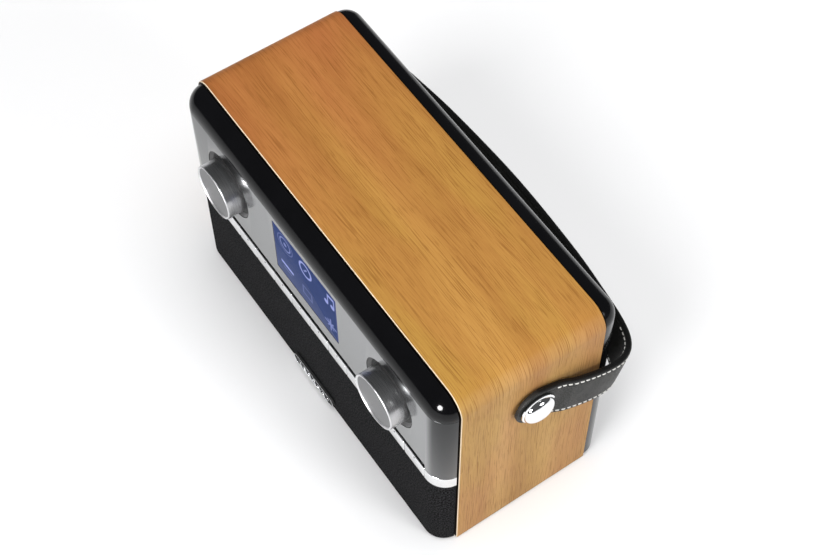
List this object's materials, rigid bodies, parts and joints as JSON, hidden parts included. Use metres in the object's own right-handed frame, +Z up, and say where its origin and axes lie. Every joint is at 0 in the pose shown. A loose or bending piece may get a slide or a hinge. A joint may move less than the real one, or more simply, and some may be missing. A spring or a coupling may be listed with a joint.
{
  "type": "tabletop radio",
  "caption": "Portable tabletop radio: veneered sleeve, cloth grille, lit display, turn-and-press knobs, a row of push keys, folding aerial and leather strap.",
  "frame": {"origin": "under the middle of the object's box, on the surface it stands on", "axes": "+Z up, the front with its display faces -Y, +X to the right seen from the front"},
  "size_m": [0.2868, 0.1592, 0.164],
  "materials": {
    "veneer": "satin lacquered cherry veneer",
    "base_board": "black painted board",
    "rubber": "matt",
    "gloss_black": "polished black moulding",
    "fascia_silver": "bright silver, slightly soft mirror",
    "screen": "lit blue display behind a clear window",
    "matt_black": "matt moulding",
    "grille_fabric": "fine black acoustic cloth",
    "chrome": "polished",
    "satin_metal": "turned and spun aluminium, darkened",
    "steel": "bright",
    "circuit_board": "solder mask",
    "cone_paper": "pulp cone with a rubber surround",
    "battery_wrap": "shrink wrap",
    "leather": "black leather with pale stitching"
  },
  "bodies": {
    "cabinet": {"wood_sleeve": "veneer", "base_panel": "base_board", "foot_front_left": "rubber", "foot_rear_left": "rubber", "foot_front_right": "rubber", "foot_rear_right": "rubber", "front_bezel": "gloss_black", "rear_cover": "gloss_black", "knob_recess_left": "gloss_black", "knob_recess_right": "gloss_black", "fascia_panel": "fascia_silver", "display_lens": "screen", "display_module": "matt_black", "grille_frame": "matt_black", "power_socket": "matt_black", "headphone_socket": "matt_black", "line_in_socket": "matt_black", "grille_cloth": "grille_fabric", "badge_plate": "chrome", "key_trim_left": "chrome", "key_trim_right": "chrome", "strap_stud_left": "chrome", "strap_stud_right": "chrome", "encoder_left": "steel", "encoder_right": "steel", "speaker_frame_left": "steel", "speaker_frame_right": "steel", "cover_screw_1": "steel", "cover_screw_2": "steel", "cover_screw_3": "steel", "cover_screw_4": "steel", "key_board": "circuit_board", "main_board": "circuit_board", "speaker_cone_left": "cone_paper", "speaker_cone_right": "cone_paper", "battery_pack": "battery_wrap"},
    "strap": {"strap": "leather"},
    "battery_door": {"battery_door": "gloss_black"},
    "aerial_foot": {"aerial_swivel": "matt_black"},
    "aerial_rod": {"aerial_tube": "chrome"},
    "aerial_middle": {"aerial_middle": "chrome"},
    "aerial_tip": {"aerial_tip": "chrome"},
    "knob_switch_left": {"encoder_plunger_left": "matt_black"},
    "knob_left": {"knob_left": "satin_metal", "knob_shaft_left": "steel"},
    "knob_switch_right": {"encoder_plunger_right": "matt_black"},
    "knob_right": {"knob_right": "satin_metal", "knob_shaft_right": "steel"},
    "key_01": {"key_01": "chrome"},
    "key_02": {"key_02": "chrome"},
    "key_03": {"key_03": "chrome"},
    "key_04": {"key_04": "chrome"},
    "key_05": {"key_05": "chrome"},
    "key_06": {"key_06": "chrome"},
    "key_07": {"key_07": "chrome"},
    "key_08": {"key_08": "chrome"},
    "key_09": {"key_09": "chrome"},
    "key_10": {"key_10": "chrome"},
    "key_11": {"key_11": "chrome"},
    "key_12": {"key_12": "chrome"}
  },
  "joints": [
    {"name": "strap_swing", "type": "hinge", "parent": "cabinet", "child": "strap", "pos_m": [0, -0.0095, 0.122], "axis": [1, 0, 0], "range_deg": [0, 169]},
    {"name": "knob_press_left", "type": "slide", "parent": "cabinet", "child": "knob_switch_left", "axis": [0, 1, 0], "range_m": [0, 0.001], "stiffness_N_per_m": 1500, "springref_m": -0.001},
    {"name": "knob_turn_left", "type": "hinge", "parent": "knob_switch_left", "child": "knob_left", "pos_m": [-0.0835, -0.0695, 0.1193], "axis": [0, -1, 0], "continuous": true},
    {"name": "knob_press_right", "type": "slide", "parent": "cabinet", "child": "knob_switch_right", "axis": [0, 1, 0], "range_m": [0, 0.001], "stiffness_N_per_m": 1500, "springref_m": -0.001},
    {"name": "knob_turn_right", "type": "hinge", "parent": "knob_switch_right", "child": "knob_right", "pos_m": [0.0835, -0.0695, 0.1193], "axis": [0, -1, 0], "continuous": true},
    {"name": "key_01_press", "type": "slide", "parent": "cabinet", "child": "key_01", "axis": [0, 1, 0], "range_m": [0, 0.0008], "stiffness_N_per_m": 800, "springref_m": -0.0005},
    {"name": "key_02_press", "type": "slide", "parent": "cabinet", "child": "key_02", "axis": [0, 1, 0], "range_m": [0, 0.0008], "stiffness_N_per_m": 800, "springref_m": -0.0005},
    {"name": "key_03_press", "type": "slide", "parent": "cabinet", "child": "key_03", "axis": [0, 1, 0], "range_m": [0, 0.0008], "stiffness_N_per_m": 800, "springref_m": -0.0005},
    {"name": "key_04_press", "type": "slide", "parent": "cabinet", "child": "key_04", "axis": [0, 1, 0], "range_m": [0, 0.0008], "stiffness_N_per_m": 800, "springref_m": -0.0005},
    {"name": "key_05_press", "type": "slide", "parent": "cabinet", "child": "key_05", "axis": [0, 1, 0], "range_m": [0, 0.0008], "stiffness_N_per_m": 800, "springref_m": -0.0005},
    {"name": "key_06_press", "type": "slide", "parent": "cabinet", "child": "key_06", "axis": [0, 1, 0], "range_m": [0, 0.0008], "stiffness_N_per_m": 800, "springref_m": -0.0005},
    {"name": "key_07_press", "type": "slide", "parent": "cabinet", "child": "key_07", "axis": [0, 1, 0], "range_m": [0, 0.0008], "stiffness_N_per_m": 800, "springref_m": -0.0005},
    {"name": "key_08_press", "type": "slide", "parent": "cabinet", "child": "key_08", "axis": [0, 1, 0], "range_m": [0, 0.0008], "stiffness_N_per_m": 800, "springref_m": -0.0005},
    {"name": "key_09_press", "type": "slide", "parent": "cabinet", "child": "key_09", "axis": [0, 1, 0], "range_m": [0, 0.0008], "stiffness_N_per_m": 800, "springref_m": -0.0005},
    {"name": "key_10_press", "type": "slide", "parent": "cabinet", "child": "key_10", "axis": [0, 1, 0], "range_m": [0, 0.0008], "stiffness_N_per_m": 800, "springref_m": -0.0005},
    {"name": "key_11_press", "type": "slide", "parent": "cabinet", "child": "key_11", "axis": [0, 1, 0], "range_m": [0, 0.0008], "stiffness_N_per_m": 800, "springref_m": -0.0005},
    {"name": "key_12_press", "type": "slide", "parent": "cabinet", "child": "key_12", "axis": [0, 1, 0], "range_m": [0, 0.0008], "stiffness_N_per_m": 800, "springref_m": -0.0005},
    {"name": "battery_door_hinge", "type": "hinge", "parent": "cabinet", "child": "battery_door", "pos_m": [0, 0.0489, 0.0172], "axis": [-1, 0, 0], "range_deg": [0, 90]},
    {"name": "aerial_swing", "type": "hinge", "parent": "cabinet", "child": "aerial_foot", "pos_m": [-0.1, 0.0535, 0.127], "axis": [0, -1, 0], "range_deg": [0, 180]},
    {"name": "aerial_tilt", "type": "hinge", "parent": "aerial_foot", "child": "aerial_rod", "pos_m": [-0.1, 0.0535, 0.127], "axis": [0, 0, 1], "range_deg": [0, 90]},
    {"name": "aerial_draw_middle", "type": "slide", "parent": "aerial_rod", "child": "aerial_middle", "axis": [1, 0, 0], "range_m": [0, 0.13]},
    {"name": "aerial_draw_tip", "type": "slide", "parent": "aerial_middle", "child": "aerial_tip", "axis": [1, 0, 0], "range_m": [0, 0.13]}
  ]
}
